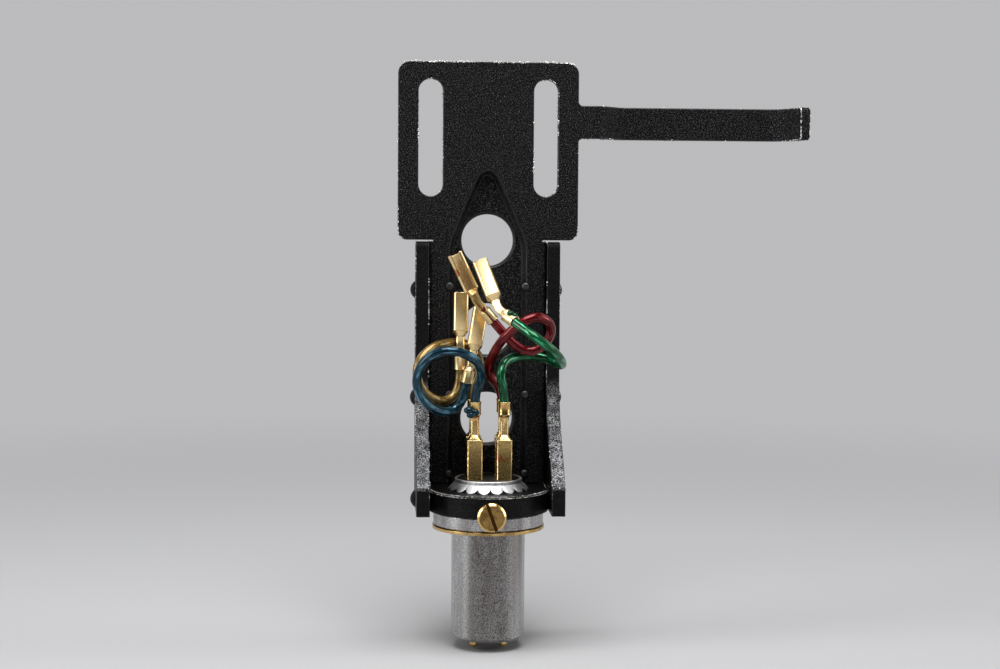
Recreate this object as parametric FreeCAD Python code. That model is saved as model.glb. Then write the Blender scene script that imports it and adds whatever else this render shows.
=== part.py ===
import FreeCAD, Part
import math
import os

# Turntable headshell with finger lift, lead clips and bayonet plug, in millimetres.
# The plug axis is +Z with the plug pointing down, and the origin is at the middle of the
# plug's seat, the underside of its washer. The cartridge side faces -Y.

V = FreeCAD.Vector
X, Y, Z = V(1, 0, 0), V(0, 1, 0), V(0, 0, 1)
EXTRA = 2.0  # how far a cutting tool runs past what it cuts

# Pressed cartridge plate
sheet = 1.2
plate_front = 3.3  # how far the plate's front face lies behind the plug axis
head_width = 19.9
head_shoulder = 31.2
head_length = 19.55
head_top_corner = 1.3
head_shoulder_corner = 1.0
fold_radius = 0.5
flange_depth = 2.7  # of the two edges folded back along the neck
plate_back = plate_front + sheet
head_top = head_shoulder + head_length

# Cartridge screw slots
slot_spacing = 12.7
slot_width = 2.7
slot_length = 12.9
slot_rise = 4.8  # of the slots' foot above the shoulder
slot_foot = head_shoulder + slot_rise

# Teardrop channel pressed into the plate, and its three holes
channel_depth = 1.0
channel_slope = 0.4  # width of the sloped wall, seen from the front
channel_half = 4.25
channel_tip_rise = 7.6  # above the shoulder
channel_tip_radius = 1.2
channel_straight_drop = 0.2  # from the shoulder to where the channel's sides turn in
channel_corner_radius = 5.6
channel_wall = 0.65  # how far the raised back stands out past the channel's edge
hole_dia = 5.75
hole_pitch = 9.87
hole_drop = 0.04  # of the top hole's middle below the shoulder
hole_bevel = 0.2
HOLES = 3
channel_tip = head_shoulder + channel_tip_rise
channel_corner_height = head_shoulder - channel_straight_drop
hole_top = head_shoulder - hole_drop

# Small pins at the channel's edges
edge_pin_dia = 0.9
edge_pin_stand = 0.25
edge_pin_off = 4.2
edge_pin_drops = [5.1, 17.1]  # of the upper two below the shoulder
edge_pin_rise = 1.1  # of the lowest above the collar

# Finger lift, one strip with the plate
lift_rise = 11.25  # of its lower edge above the shoulder
lift_width = 3.6
lift_root_fillet = 0.45
lift_jog_start = 12.4
lift_jog_end = 14.8
lift_jog_depth = 2.9
lift_jog_radius = 1.6
lift_bend_start = 33.6
lift_bend_angle = 75.0
lift_bend_radius = 2.8  # of the strip's middle
lift_tip_length = 5.2
lift_tip_corner = 0.5
lift_foot = head_shoulder + lift_rise

# Side rails
neck_width = 13.0
rail_thick = 1.45
rail_front = 2.6
rail_back = 7.4
rail_gap = 0.2  # from the rails' tops to the shoulder
rail_nose = 5.1  # how far the rail reaches in front of the plug axis
rail_nose_height = 3.05
rail_slope_angle = 43.6
rail_throat_radius = 8.9
rail_top_relief = 0.6
rail_rear_corner = 2.0
rail_top = head_shoulder - rail_gap

# Rivets, three in each rail
rivet_head_dia = 1.95
rivet_head_height = 0.55
rivet_shank_dia = 1.1
rivet_tail_dia = 1.8
rivet_tail_height = 0.35
rivet_back = 6.0
rivet_drop = 5.4  # of the upper rivets below the rails' tops
rivet_pitch = 12.0
edge_pin_heights = [head_shoulder - drop for drop in edge_pin_drops]
rivet_heights = {"upper": rail_top - rivet_drop, "middle": rail_top - rivet_drop - rivet_pitch}
lower_rivet_back = 0.5
lower_rivet_depth = 1.8

# Plug
washer_dia = 12.2
washer_thick = 0.35
washer_gap = 0.1
plug_flange_dia = 12.0
plug_flange_thick = 1.55
barrel_dia = 8.0
barrel_length = 12.0
barrel_bore = 6.5
barrel_end_bevel = 0.35
flange_bevel = 0.15
spigot_dia = 7.8
core_recess = 0.4
core_rise = 1.25  # above the collar
locating_pin_dia = 2.0
locating_pin_stand = 1.2
locating_pin_drop = 4.6
locating_pin_bevel = 0.2

# Collar that joins the plug to the rails
collar_thick = 2.3
collar_rear_corner = 1.0
collar_edge = 0.15

# Toothed ring on top of the collar
ring_height = 1.2
ring_rim_dia = 7.35
ring_skirt_dia = 8.8
ring_skirt_height = 0.55
ring_flute_dia = 0.85
ring_gap = 0.15
ring_relief_height = 2.4
FLUTES = 18

# Screw at the front of the collar
screw_height = 2.07
screw_head_dia = 3.1
screw_head_height = 0.8
screw_bevel = 0.25
screw_shank_dia = 1.6
screw_shank_length = 1.9
screw_seat = 0.4  # how deep its seat is cut into the collar
screw_slot_width = 0.35
screw_slot_depth = 0.35
screw_slot_turn = 20.0
screw_seat_gap = 0.05

# Contacts
contact_spacing = 3.2
contact_dia = 0.9
contact_reach = 0.9  # past the end of the barrel
contact_rise = 3.6  # above the core

# Clips: a folded socket, a taper, a neck and a sleeve crimped on the lead
socket_width = 1.65
socket_wall = 0.2
socket_corner = 0.35
socket_length = 4.25
socket_seam = 0.4
taper_length = 0.55
neck_strip = 0.93
neck_thick = 0.45
neck_length = 2.1
neck_bend_radius = 0.9
sleeve_dia = 1.3
sleeve_length = 1.5
lead_dia = 1.0
lead_inset = 1.1  # how far a lead goes into a sleeve

# Heights and places that follow from the sizes above
flange_top = washer_thick + plug_flange_thick
collar_top = flange_top + collar_thick
edge_pin_heights.append(collar_top + edge_pin_rise)
core_top = collar_top + core_rise
flange_back = plate_back + flange_depth
collar_radius = neck_width / 2
rail_outer = neck_width / 2 + rail_thick
lower_rivet_height = flange_top + collar_thick / 2
clip_length = socket_length + taper_length + neck_length + sleeve_length
lead_start = core_top + clip_length - lead_inset

# Routes of the four leads, from inside the sleeve on the contact to inside the sleeve
# of the loose clip. The points are chosen by hand.
ROUTES = {
    "green": [
        (1.6, -1.6, lead_start), (1.6, -1.6, 14.9), (1.0, -2.4, 16.7), (1.7, -1.2, 18.4),
        (3.8, 0.6, 18.7), (6.0, 0.7, 18.5), (7.4, -0.9, 17.9), (7.7, -3.4, 17.9),
        (7.2, -6.0, 18.9), (5.9, -8.2, 20.1), (4.3, -8.5, 21.3), (3.0, -7.0, 22.2),
        (1.6, -5.7, 23.3),
    ],
    "red": [
        (1.6, 1.6, lead_start), (1.6, 1.6, 14.8), (-0.2, 0.8, 16.8), (0.3, -1.1, 18.9),
        (1.3, -2.9, 20.8), (3.1, -4.0, 22.6), (5.1, -3.5, 23.3), (6.6, -2.2, 22.3),
        (6.6, -1.0, 20.7), (5.3, -0.6, 19.3), (3.6, -0.7, 19.2), (2.1, -1.0, 20.5),
        (0.9, -1.3, 21.9), (-0.4, -1.5, 23.4),
    ],
    "blue": [
        (-1.6, -1.6, lead_start), (-1.6, -1.6, 14.9), (-0.9, -2.9, 16.6), (-1.4, -4.8, 18.4),
        (-3.2, -5.9, 19.6), (-5.5, -5.9, 19.7), (-7.3, -5.1, 18.5), (-8.1, -4.0, 16.4),
        (-7.4, -3.2, 14.2), (-5.6, -2.0, 12.8), (-4.0, -0.9, 12.7), (-3.0, -0.5, 13.6),
        (-2.6, -0.6, 15.1), (-2.2, -0.6, 16.85),
    ],
    "gold": [
        (-1.6, 1.6, lead_start), (-1.6, 1.6, 14.9), (-0.8, 2.2, 16.8), (-0.9, 2.9, 18.6),
        (-2.6, 2.9, 20.0), (-4.5, 0.1, 20.1), (-6.3, -1.2, 19.7), (-7.8, -2.2, 18.2),
        (-7.9, -2.4, 16.2), (-6.8, -1.7, 14.5), (-5.1, -0.4, 13.6), (-3.6, 0.5, 14.3),
        (-3.05, 0.5, 16.1), (-3.1, 0.3, 18.3),
    ],
}

# Directions in which the sockets of the loose clips point, away from their sleeves
SOCKET_AIMS = {
    "green": (-1.3, 2.0, 3.5),
    "red": (-1.9, 0.6, 4.0),
    "blue": (0.7, 1.4, 3.8),
    "gold": (0.1, 1.3, 3.9),
}
# Which way the seams of those sockets face: 1 to the rear, -1 to the front
SEAM_SIDES = {"green": 1, "red": -1, "blue": 1, "gold": 1}

CONTACT_PLACES = {"green": (1, -1), "red": (1, 1), "blue": (-1, -1), "gold": (-1, 1)}


def rod(radius, start, direction, length):
    """A round bar from a point along a direction."""
    return Part.makeCylinder(radius, length, start, direction)


def block(x0, x1, y0, y1, z0, z1):
    """A box between two corners."""
    return Part.makeBox(x1 - x0, y1 - y0, z1 - z0, V(x0, y0, z0))


def turned(points):
    """A solid turned about the plug axis from (radius, height) points."""
    corners = [V(r, 0, z) for r, z in points]
    return Part.Face(Part.makePolygon(corners + corners[:1])).revolve(V(0, 0, 0), Z, 360)


def edges_where(shape, test):
    """The edges that pass a test."""
    return [e for e in shape.Edges if test(e)]


def near(a, b):
    return abs(a - b) < 1e-6


def corner_arc(before, here, after, radius):
    """The first, middle and last point of the arc that rounds a corner."""
    back, ahead = (before - here).normalize(), (after - here).normalize()
    half = back.getAngle(ahead) / 2
    reach = radius / math.tan(half)
    inward = (back + ahead).normalize()
    middle = here + inward * (radius / math.sin(half) - radius)
    return here + back * reach, middle, here + ahead * reach


def rounded_path(points, radii):
    """A wire of straight runs joined by tangent arcs, one radius for each inner point."""
    pieces, start = [], points[0]
    for before, here, after, radius in zip(points, points[1:], points[2:], radii):
        first, middle, last = corner_arc(before, here, after, radius)
        pieces.append(Part.LineSegment(start, first).toShape())
        pieces.append(Part.Arc(first, middle, last).toShape())
        start = last
    pieces.append(Part.LineSegment(start, points[-1]).toShape())
    return Part.Wire(pieces)


def rounded_face(corners):
    """A flat face from (point, radius) corners, where a radius of 0 keeps the corner sharp."""
    points = [p for p, _ in corners]
    arcs = [corner_arc(points[i - 1], p, points[(i + 1) % len(points)], r) if r else (p, p, p)
            for i, (p, r) in enumerate(corners)]
    pieces = []
    for i, (first, middle, last) in enumerate(arcs):
        if corners[i][1]:
            pieces.append(Part.Arc(first, middle, last).toShape())
        pieces.append(Part.LineSegment(last, arcs[(i + 1) % len(arcs)][0]).toShape())
    return Part.Face(Part.Wire(pieces))


def swept(profile, path):
    return path.makePipeShell([profile], True, False)


def rectangle(centre, across, width, up, height):
    """A rectangular wire about a point, with its sides along two directions."""
    a, b = across * (width / 2), up * (height / 2)
    corners = [centre - a - b, centre + a - b, centre + a + b, centre - a + b]
    return Part.makePolygon(corners + corners[:1])


def slot_cut(x):
    """A round-ended slot through the plate."""
    r = slot_width / 2
    start = plate_front - EXTRA
    through = sheet + 2 * EXTRA
    low, high = slot_foot + r, slot_foot + slot_length - r
    straight = block(x - r, x + r, start, start + through, low, high)
    return straight.fuse([rod(r, V(x, start, z), Y, through) for z in (low, high)])


def teardrop(y, grow):
    """The outline of the channel at a depth, made wider all round by grow."""
    tip_r = channel_tip_radius + grow
    corner_r = channel_corner_radius + grow
    tip_z = channel_tip - channel_tip_radius
    drop = tip_z - channel_corner_height
    turn = math.atan2(channel_half, drop) - math.asin(
        channel_tip_radius / math.hypot(channel_half, drop))
    corner = V(channel_half + grow, y, channel_corner_height + grow * math.tan(turn / 2))
    cut = corner_r * math.tan(turn / 2)
    side = corner - Z * cut
    rise = corner + V(-math.sin(turn), 0, math.cos(turn)) * cut
    half_way = V(math.cos(turn / 2), 0, math.sin(turn / 2))
    bulge = side + (half_way - X) * corner_r
    foot = V(corner.x, y, collar_top - EXTRA)
    tangent = V(0, y, tip_z) + V(math.cos(turn), 0, math.sin(turn)) * tip_r

    def left(p):
        return V(-p.x, p.y, p.z)

    return Part.Wire([
        Part.LineSegment(left(foot), foot).toShape(),
        Part.LineSegment(foot, side).toShape(),
        Part.Arc(side, bulge, rise).toShape(),
        Part.LineSegment(rise, tangent).toShape(),
        Part.Arc(tangent, V(0, y, tip_z + tip_r), left(tangent)).toShape(),
        Part.LineSegment(left(tangent), left(rise)).toShape(),
        Part.Arc(left(rise), left(bulge), left(side)).toShape(),
        Part.LineSegment(left(side), left(foot)).toShape(),
    ])


def channel_form(front, grow):
    """The channel's form from one depth to the next, as a solid with sloped walls."""
    back = teardrop(front + channel_depth, grow - channel_slope)
    return Part.makeLoft([teardrop(front, grow), back], True)


def finger_lift():
    """The strip that jogs away from the cartridge side, runs out and turns back at its tip."""
    mid = plate_front + sheet / 2
    height = lift_foot + lift_width / 2
    far = mid + lift_jog_depth
    bend = math.radians(lift_bend_angle)
    along = V(math.cos(bend), -math.sin(bend), 0)
    start = V(head_width / 2 - EXTRA, mid, height)
    turn = V(lift_bend_start, far, height)
    path = rounded_path(
        [start, V(lift_jog_start, mid, height), V(lift_jog_end, far, height), turn,
         turn + along * lift_tip_length],
        [lift_jog_radius, lift_jog_radius, lift_bend_radius])
    strip = swept(rectangle(start, Y, sheet, Z, lift_width), path)
    tip = turn + along * (lift_tip_length - lift_tip_corner)
    corners = edges_where(strip, lambda e: near(e.Length, sheet)
                          and all((v.Point - tip).dot(along) > 0 for v in e.Vertexes))
    return strip.makeFillet(lift_tip_corner, corners)


def root_fillet(z, side):
    """The small rounded corner where the lift leaves the plate's edge, above or below it."""
    r = lift_root_fillet
    x = head_width / 2
    corner = block(x - r, x + r, plate_front, plate_back, min(z, z + side * r), max(z, z + side * r))
    return corner.cut(rod(r, V(x + r, plate_front - EXTRA, z + side * r), Y, sheet + 2 * EXTRA))


def plate_head():
    """The square head that carries the cartridge."""
    half, top, foot = head_width / 2, head_top_corner, head_shoulder_corner
    face = rounded_face([
        (V(-half, plate_front, head_shoulder), foot), (V(half, plate_front, head_shoulder), foot),
        (V(half, plate_front, head_top), top), (V(-half, plate_front, head_top), top)])
    return face.extrude(Y * sheet)


def plate_neck():
    """The narrow stretch between the rails, with its two edges folded back."""
    half = neck_width / 2
    face = rounded_face([
        (V(-half, flange_back, collar_top), 0), (V(-half, plate_front, collar_top), fold_radius),
        (V(half, plate_front, collar_top), fold_radius), (V(half, flange_back, collar_top), 0),
        (V(half - sheet, flange_back, collar_top), 0), (V(half - sheet, plate_back, collar_top), 0),
        (V(sheet - half, plate_back, collar_top), 0), (V(sheet - half, flange_back, collar_top), 0)])
    folded = face.extrude(Z * (rail_top - collar_top))
    inset = half - fold_radius
    return folded.fuse(block(-inset, inset, plate_front, plate_back, rail_top, head_shoulder))


def cartridge_plate():
    plate = plate_head().fuse([plate_neck(), channel_form(plate_back, channel_wall), finger_lift(),
                               root_fillet(lift_foot + lift_width, 1), root_fillet(lift_foot, -1)])
    cuts = [channel_form(plate_front, 0)] + [slot_cut(x) for x in (-slot_spacing / 2, slot_spacing / 2)]
    floor = plate_front + channel_depth
    for i in range(HOLES):
        centre = V(0, floor, hole_top - i * hole_pitch)
        r = hole_dia / 2
        cuts.append(rod(r, centre - Y * EXTRA, Y, sheet + 2 * EXTRA))
        cuts.append(Part.makeCone(r + hole_bevel, r, hole_bevel, centre, Y))
    cuts += [edge_pin_hole(side, z) for side in (-1, 1) for z in edge_pin_heights]
    cuts += [rivet_hole(side, rivet_back, z) for side in (-1, 1) for z in rivet_heights.values()]
    cuts.append(block(-head_width, head_width, 0, 3 * rail_back, collar_top - 2 * EXTRA, collar_top))
    ring_room = ring_skirt_dia / 2 + ring_gap
    cuts.append(rod(ring_room, V(0, 0, collar_top - EXTRA), Z, ring_relief_height + EXTRA))
    return plate.cut(cuts).removeSplitter()


def edge_pin_hole(side, z):
    start = V(side * edge_pin_off, plate_front - EXTRA, z)
    return rod(edge_pin_dia / 2, start, Y, EXTRA + sheet)


def edge_pin(side, z):
    """A small domed pin that stands out at the channel's edge."""
    r = edge_pin_dia / 2
    foot = V(side * edge_pin_off, plate_back, z)
    pin = rod(r, foot, -Y, sheet + edge_pin_stand)
    return pin.makeFillet(edge_pin_stand, edges_where(
        pin, lambda e: near(e.Vertexes[0].Point.y, plate_front - edge_pin_stand)
        and near(e.Vertexes[-1].Point.y, plate_front - edge_pin_stand) and e.Closed))


def rail_profile(x):
    """The side view of a rail: low beside the plate, then sloping out to a nose."""
    slope = math.radians(rail_slope_angle)
    nose_z = flange_top + rail_nose_height
    throat_z = nose_z + (rail_nose + rail_front) / math.tan(slope)
    return rounded_face([
        (V(x, rail_back, flange_top), 0), (V(x, rail_back, rail_top), rail_rear_corner),
        (V(x, rail_front, rail_top), rail_top_relief), (V(x, rail_front, throat_z), rail_throat_radius),
        (V(x, -rail_nose, nose_z), 0), (V(x, -rail_nose, flange_top), 0)])


def side_rail(side):
    rail = rail_profile(side * neck_width / 2).extrude(X * (side * rail_thick))
    places = [(rivet_back, z) for z in rivet_heights.values()] + [(lower_rivet_back, lower_rivet_height)]
    return rail.cut([rivet_hole(side, y, z) for y, z in places])


def rivet_hole(side, y, z):
    depth = rail_thick + max(sheet, lower_rivet_depth) + EXTRA
    if near(y, lower_rivet_back):
        depth = rail_thick + lower_rivet_depth + EXTRA
    start = V(side * (rail_outer + EXTRA), y, z)
    return rod(rivet_shank_dia / 2, start, X * -side, depth)


def rivet_dome(side, y, z):
    """The domed head, a slice of a ball, on the rail's outer face."""
    half, height = rivet_head_dia / 2, rivet_head_height
    ball_r = (half * half + height * height) / (2 * height)
    ball = Part.makeSphere(ball_r, V(side * (rail_outer + height - ball_r), y, z))
    start = V(side * rail_outer, y, z)
    return ball.common(rod(rivet_head_dia, start, X * side, height + EXTRA))


def rivet(side, y, z, depth, tail):
    """A rivet through the rail, with a flat tail inside where it ends in the open."""
    start = V(side * rail_outer, y, z)
    pieces = [rod(rivet_shank_dia / 2, start, X * -side, rail_thick + depth)]
    if tail:
        inner = start - X * (side * (rail_thick + depth))
        pieces.append(rod(rivet_tail_dia / 2, inner, X * -side, rivet_tail_height))
    return rivet_dome(side, y, z).fuse(pieces).removeSplitter()


def plug_barrel():
    """The barrel, its flange and the spigot that passes through the collar."""
    bore, barrel, spigot = barrel_bore / 2, barrel_dia / 2, spigot_dia / 2
    flange, b, e = plug_flange_dia / 2, flange_bevel, barrel_end_bevel
    body = turned([
        (bore, -barrel_length), (barrel - e, -barrel_length), (barrel, e - barrel_length),
        (barrel, washer_thick), (flange - b, washer_thick), (flange, washer_thick + b),
        (flange, flange_top - b), (flange - b, flange_top), (spigot, flange_top),
        (spigot, collar_top), (bore, collar_top)])
    pin_hole = rod(locating_pin_dia / 2, V(0, 0, -locating_pin_drop), Y, barrel_dia)
    return body.cut([pin_hole, screw_hole()])


def locating_pin():
    """The pin that finds the slot in the arm's socket."""
    length = (barrel_dia - barrel_bore) / 2 + locating_pin_stand
    pin = rod(locating_pin_dia / 2, V(0, barrel_bore / 2, -locating_pin_drop), Y, length)
    end = barrel_bore / 2 + length
    pin = pin.makeChamfer(locating_pin_bevel, edges_where(
        pin, lambda e: e.Closed and near(e.Vertexes[0].Point.y, end)))
    return pin.cut(rod(barrel_bore / 2, V(0, 0, -barrel_length), Z, 2 * barrel_length))


def seat_washer():
    inner = barrel_dia / 2 + washer_gap
    outer = washer_dia / 2
    return turned([(inner, 0), (outer, 0), (outer, washer_thick), (inner, washer_thick)])


def collar():
    """The black piece between the rails: round at the front, square at the back."""
    r, rear = collar_radius, collar_rear_corner
    square = rounded_face([
        (V(-r, 0, flange_top), 0), (V(r, 0, flange_top), 0),
        (V(r, flange_back, flange_top), rear), (V(-r, flange_back, flange_top), rear)])
    body = square.extrude(Z * collar_thick).fuse(rod(r, V(0, 0, flange_top), Z, collar_thick))
    body = body.removeSplitter()
    rim = edges_where(body, lambda e: e.Vertexes[0].Point.z > collar_top - collar_edge
                      and e.BoundBox.YMin < -r + collar_edge)
    body = body.makeChamfer(collar_edge, rim)
    cuts = [rod(spigot_dia / 2, V(0, 0, 0), Z, 2 * collar_top), screw_hole(), screw_seat_cut()]
    cuts += [rivet_hole(side, lower_rivet_back, lower_rivet_height) for side in (-1, 1)]
    return body.cut(cuts)


def flute(angle):
    """One of the grooves round the toothed ring."""
    middle = V(ring_skirt_dia / 2 + ring_flute_dia / 8, 0, collar_top - EXTRA)
    groove = rod(ring_flute_dia / 2, middle, Z, ring_height + 2 * EXTRA)
    return groove.rotated(V(0, 0, 0), Z, angle)


def toothed_ring():
    bore, rim, skirt = barrel_bore / 2, ring_rim_dia / 2, ring_skirt_dia / 2
    body = turned([
        (bore, collar_top), (skirt, collar_top), (skirt, collar_top + ring_skirt_height),
        (rim, collar_top + ring_height), (bore, collar_top + ring_height)])
    return body.cut([flute(360.0 * i / FLUTES) for i in range(FLUTES)])


def contact_places():
    """The four contacts by the colour of the lead on each."""
    half = contact_spacing / 2
    return {name: V(x * half, y * half, 0) for name, (x, y) in CONTACT_PLACES.items()}


def plug_core():
    """The insulator inside the plug, which holds the four contacts."""
    foot = core_recess - barrel_length
    core = rod(barrel_bore / 2, V(0, 0, foot), Z, core_top - foot)
    return core.cut([rod(contact_dia / 2, place + Z * (foot - EXTRA), Z, core_top - foot + 2 * EXTRA)
                     for place in contact_places().values()])


def contact(place):
    """A contact: a round-ended button at the plug's end and a bare pin above the core."""
    foot = -barrel_length - contact_reach
    r = contact_dia / 2
    pin = rod(r, place + Z * (foot + r), Z, core_top + contact_rise - foot - r)
    return pin.fuse(Part.makeSphere(r, place + Z * (foot + r))).removeSplitter()


def screw_hole():
    start = V(0, screw_seat - collar_radius - EXTRA, screw_height)
    return rod(screw_shank_dia / 2, start, Y, screw_shank_length + EXTRA)


def screw_seat_cut():
    start = V(0, screw_seat - collar_radius - EXTRA, screw_height)
    return rod(screw_head_dia / 2 + screw_seat_gap, start, Y, EXTRA)


def clamp_screw():
    """The slotted screw at the front, across the joint of the collar and the plug's flange."""
    seat = V(0, screw_seat - collar_radius, screw_height)
    head = rod(screw_head_dia / 2, seat, -Y, screw_head_height)
    front = seat.y - screw_head_height
    head = head.makeChamfer(screw_bevel, edges_where(
        head, lambda e: e.Closed and near(e.Vertexes[0].Point.y, front)))
    groove = block(-screw_slot_width / 2, screw_slot_width / 2, front - EXTRA, front + screw_slot_depth,
                   screw_height - screw_head_dia, screw_height + screw_head_dia)
    groove.rotate(seat, Y, -screw_slot_turn)
    return head.fuse(rod(screw_shank_dia / 2, seat, Y, screw_shank_length)).cut(groove)


def clip(heading):
    """A clip along +Z from its socket's mouth, seam at +Y, with its neck bent to a heading."""
    half, wall = socket_width / 2, socket_wall
    outer = rounded_face([(V(sx * half, sy * half, 0), socket_corner)
                          for sx, sy in ((-1, -1), (1, -1), (1, 1), (-1, 1))])
    inner_half, inner_corner = half - wall, socket_corner - wall
    inner = rounded_face([(V(sx * inner_half, sy * inner_half, -EXTRA), inner_corner)
                          for sx, sy in ((-1, -1), (1, -1), (1, 1), (-1, 1))])
    socket = outer.extrude(Z * socket_length).cut([
        inner.extrude(Z * (socket_length + 2 * EXTRA)),
        block(-socket_seam / 2, socket_seam / 2, 0, socket_width, -EXTRA, socket_length + EXTRA)])
    base = V(0, wall / 2 - half, socket_length)
    top = V(0, 0, socket_length + taper_length)
    taper = Part.makeLoft([rectangle(base, X, socket_width - 2 * socket_corner, Y, wall),
                           rectangle(top, X, neck_strip, Y, neck_thick)], True)
    knee = top + Z * (neck_length / 2)
    end = knee + heading * (neck_length / 2)
    straight = near(heading.z, 1)
    route = Part.Wire(Part.LineSegment(top, end).toShape()) if straight else rounded_path(
        [top, knee, end], [neck_bend_radius])
    neck = swept(rectangle(top, X, neck_strip, Y, neck_thick), route)
    sleeve = rod(sleeve_dia / 2, end, heading, sleeve_length)
    bore = rod(lead_dia / 2, end + heading * (sleeve_length - lead_inset), heading, sleeve_length)
    return socket.fuse([taper, neck, sleeve]).cut(bore).removeSplitter()


def contact_clip(place):
    """The clip pushed on a contact, standing on the core with its seam to the rear."""
    shape = clip(Z)
    shape.translate(place + Z * core_top)
    return shape


def route_points(name):
    return [V(*p) for p in ROUTES[name]]


def loose_clip(name):
    """The clip on a lead's far end, its sleeve round the lead and its socket aimed away."""
    before, end = route_points(name)[-2:]
    along = -V(*SOCKET_AIMS[name]).normalize()
    seam = Y * SEAM_SIDES[name]
    seam = (seam - along * seam.dot(along)).normalize()
    turn = FreeCAD.Rotation(seam.cross(along), seam, along, "ZXY")
    heading = turn.inverted().multVec((before - end).normalize())
    knee = Z * (socket_length + taper_length + neck_length / 2)
    local_end = knee + heading * (neck_length / 2 + sleeve_length - lead_inset)
    shape = clip(heading)
    shape.Placement = FreeCAD.Placement(end - turn.multVec(local_end), turn)
    return shape


def lead(name):
    """A lead's insulation, from sleeve to sleeve."""
    points = route_points(name)
    runs = [(b - a).Length for a, b in zip(points, points[1:])]
    radii = []
    for i in range(1, len(points) - 1):
        half_turn = (points[i] - points[i - 1]).getAngle(points[i + 1] - points[i]) / 2
        radii.append(0.45 * min(runs[i - 1], runs[i]) / math.tan(half_turn))
    path = rounded_path(points, radii)
    start = points[0]
    profile = Part.Wire(Part.makeCircle(lead_dia / 2, start, (points[1] - start).normalize()))
    tube = swept(profile, path)
    section = math.pi * (lead_dia / 2) ** 2
    print(name, "length %.2f" % path.Length, "volume ratio %.4f" % (tube.Volume / section / path.Length),
          "radii", [round(r, 1) for r in radii])
    return tube


def all_pieces():
    """Every piece of the headshell by name."""
    pieces = {
        "cartridge_plate": cartridge_plate(), "left_rail": side_rail(-1), "right_rail": side_rail(1),
        "collar": collar(), "plug_barrel": plug_barrel(), "plug_core": plug_core(),
        "locating_pin": locating_pin(), "seat_washer": seat_washer(), "toothed_ring": toothed_ring(),
        "clamp_screw": clamp_screw(),
    }
    for side, word in ((-1, "left"), (1, "right")):
        for level, z in rivet_heights.items():
            pieces[word + "_" + level + "_rivet"] = rivet(side, rivet_back, z, sheet, True)
        pieces[word + "_lower_rivet"] = rivet(
            side, lower_rivet_back, lower_rivet_height, lower_rivet_depth, False)
        for number, z in enumerate(edge_pin_heights, 1):
            pieces[word + "_edge_pin_" + str(number)] = edge_pin(side, z)
    for name, place in contact_places().items():
        pieces["contact_" + name] = contact(place)
        pieces["contact_clip_" + name] = contact_clip(place)
        pieces["cartridge_clip_" + name] = loose_clip(name)
        pieces["lead_" + name] = lead(name)
    return pieces


os.makedirs("parts", exist_ok=True)
for piece_name, piece in all_pieces().items():
    print(piece_name, "solids", len(piece.Solids), "valid", piece.isValid(), "volume %.2f" % piece.Volume)
    piece.exportStep(os.path.join("parts", piece_name + ".step"))
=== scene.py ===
import math

import bmesh
import bpy
from mathutils import Matrix, Vector


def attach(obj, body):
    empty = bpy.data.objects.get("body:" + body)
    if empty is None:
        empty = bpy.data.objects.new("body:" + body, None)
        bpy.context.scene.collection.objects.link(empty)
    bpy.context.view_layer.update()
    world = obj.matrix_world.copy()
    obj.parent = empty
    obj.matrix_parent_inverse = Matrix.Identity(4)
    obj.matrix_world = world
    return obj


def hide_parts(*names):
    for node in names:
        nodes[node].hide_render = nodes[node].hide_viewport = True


# Turntable headshell in metres. The plug's axis is Z, the cartridge side faces -Y, and
# the finger lift stands out along X.

MM = 0.001
FLOOR = -13.1 * MM  # just under the contacts' ends
MERGE = 0.0005 * MM  # corners nearer to each other than this are one

# Camera as in the photograph
LENS = 64.8
SENSOR = 36.0
CAMERA_AT = (-0.01169, -0.19474, 0.03431)
CAMERA_TURN = (87.310, -0.370, -3.753)
CAMERA_SHIFT = -0.038  # brings the whole plug into the frame

# The leads' routes in millimetres, from the sleeve on the contact to the loose clip's sleeve
LEAD_DIA = 1.0
LEAD_INSET = 1.1
ROUTES = {
    "green": [
        (1.6, -1.6, 12.75), (1.6, -1.6, 14.9), (1.0, -2.4, 16.7), (1.7, -1.2, 18.4),
        (3.8, 0.6, 18.7), (6.0, 0.7, 18.5), (7.4, -0.9, 17.9), (7.7, -3.4, 17.9),
        (7.2, -6.0, 18.9), (5.9, -8.2, 20.1), (4.3, -8.5, 21.3), (3.0, -7.0, 22.2),
        (1.6, -5.7, 23.3),
    ],
    "red": [
        (1.6, 1.6, 12.75), (1.6, 1.6, 14.8), (-0.2, 0.8, 16.8), (0.3, -1.1, 18.9),
        (1.3, -2.9, 20.8), (3.1, -4.0, 22.6), (5.1, -3.5, 23.3), (6.6, -2.2, 22.3),
        (6.6, -1.0, 20.7), (5.3, -0.6, 19.3), (3.6, -0.7, 19.2), (2.1, -1.0, 20.5),
        (0.9, -1.3, 21.9), (-0.4, -1.5, 23.4),
    ],
    "blue": [
        (-1.6, -1.6, 12.75), (-1.6, -1.6, 14.9), (-0.9, -2.9, 16.6), (-1.4, -4.8, 18.4),
        (-3.2, -5.9, 19.6), (-5.5, -5.9, 19.7), (-7.3, -5.1, 18.5), (-8.1, -4.0, 16.4),
        (-7.4, -3.2, 14.2), (-5.6, -2.0, 12.8), (-4.0, -0.9, 12.7), (-3.0, -0.5, 13.6),
        (-2.6, -0.6, 15.1), (-2.2, -0.6, 16.85),
    ],
    "gold": [
        (-1.6, 1.6, 12.75), (-1.6, 1.6, 14.9), (-0.8, 2.2, 16.8), (-0.9, 2.9, 18.6),
        (-2.6, 2.9, 20.0), (-4.5, 0.1, 20.1), (-6.3, -1.2, 19.7), (-7.8, -2.2, 18.2),
        (-7.9, -2.4, 16.2), (-6.8, -1.7, 14.5), (-5.1, -0.4, 13.6), (-3.6, 0.5, 14.3),
        (-3.05, 0.5, 16.1), (-3.1, 0.3, 18.3),
    ],
}

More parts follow.
